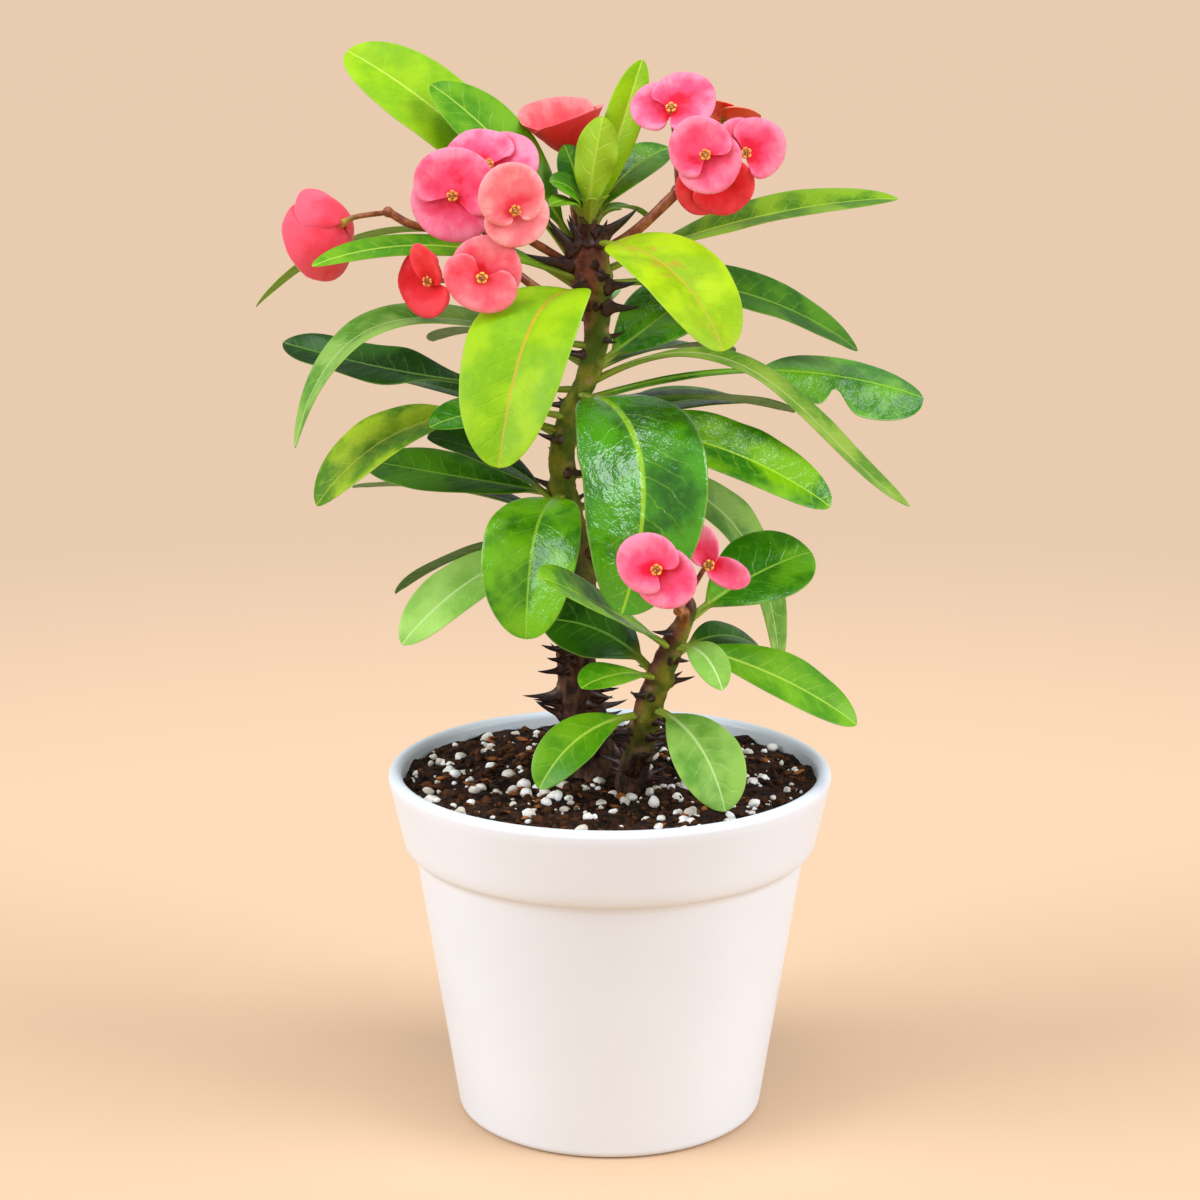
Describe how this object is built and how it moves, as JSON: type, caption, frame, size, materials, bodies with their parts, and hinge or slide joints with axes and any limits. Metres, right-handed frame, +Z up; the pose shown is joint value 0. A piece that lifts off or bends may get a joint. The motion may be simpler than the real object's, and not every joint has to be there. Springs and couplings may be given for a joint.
{
  "type": "potted crown of thorns plant",
  "caption": "Crown of thorns plant: thorny stems with arching oval leaves and round pink blooms, growing in a round, tapered plant pot with a broad rim band and drain holes.",
  "frame": {"origin": "middle of the pot's flat underside, on the surface that the pot stands on", "axes": "+Z up along the pot's axis; -Y towards the plant's show side; +X to the right of someone who looks at that side"},
  "size_m": [0.1957, 0.13, 0.3131],
  "materials": {
    "pot_plastic": "satin moulded polypropylene",
    "potting_mix": "moist peat with bark and perlite",
    "stem_bark": "matt corky bark with dark thorns",
    "leaf_young": "soft waxy sheen",
    "leaf_green": "waxy sheen",
    "leaf_dark": "glossy wax",
    "bloom_bract": "velvety satin"
  },
  "bodies": {
    "root": {"pot": "pot_plastic", "soil": "potting_mix", "stem_tall": "stem_bark", "stem_front": "stem_bark", "crown_leaves": "leaf_young", "leaf_top_left": "leaf_young", "leaf_behind_blooms": "leaf_green", "leaf_long_right": "leaf_green", "leaf_lime_right": "leaf_young", "leaf_upper_right": "leaf_green", "leaf_lime_front": "leaf_young", "leaf_pale_left": "leaf_young", "leaf_far_left": "leaf_young", "leaf_arch_left": "leaf_green", "leaf_wavy_left": "leaf_dark", "leaf_olive_left": "leaf_green", "leaf_blue_left": "leaf_green", "leaf_folded_left": "leaf_green", "leaf_shaded_left": "leaf_dark", "leaf_back_left_1": "leaf_dark", "leaf_back_left_2": "leaf_dark", "leaf_back_left_3": "leaf_dark", "leaf_pale_low": "leaf_young", "leaf_edge_low": "leaf_dark", "leaf_broad_low": "leaf_dark", "leaf_broad_front": "leaf_dark", "leaf_gloss_right": "leaf_dark", "leaf_arch_right": "leaf_green", "leaf_spoon_right": "leaf_green", "leaf_under_arch": "leaf_dark", "leaf_upright_right": "leaf_green", "leaf_back_right_1": "leaf_dark", "leaf_back_right_2": "leaf_green", "leaf_back_right_3": "leaf_green", "leaf_hanging_right": "leaf_green", "leaf_low_back_1": "leaf_dark", "leaf_low_back_2": "leaf_green", "leaf_gloss_front": "leaf_green", "leaf_dark_front": "leaf_dark", "leaf_small_front": "leaf_green", "leaf_soil_left": "leaf_green", "leaf_soil_right": "leaf_green", "leaf_short_front": "leaf_green", "leaf_low_right": "leaf_green", "leaf_behind_right": "leaf_dark", "leaf_round_right": "leaf_dark", "bloom_left_1": "bloom_bract", "bloom_left_2": "bloom_bract", "bloom_left_3": "bloom_bract", "bloom_left_4": "bloom_bract", "bloom_left_5": "bloom_bract", "bloom_far_left_1": "bloom_bract", "bloom_top_1": "bloom_bract", "bloom_right_1": "bloom_bract", "bloom_right_2": "bloom_bract", "bloom_right_3": "bloom_bract", "bloom_right_4": "bloom_bract", "bloom_right_5": "bloom_bract", "bloom_front_1": "bloom_bract", "bloom_front_2": "bloom_bract"}
  },
  "joints": []
}
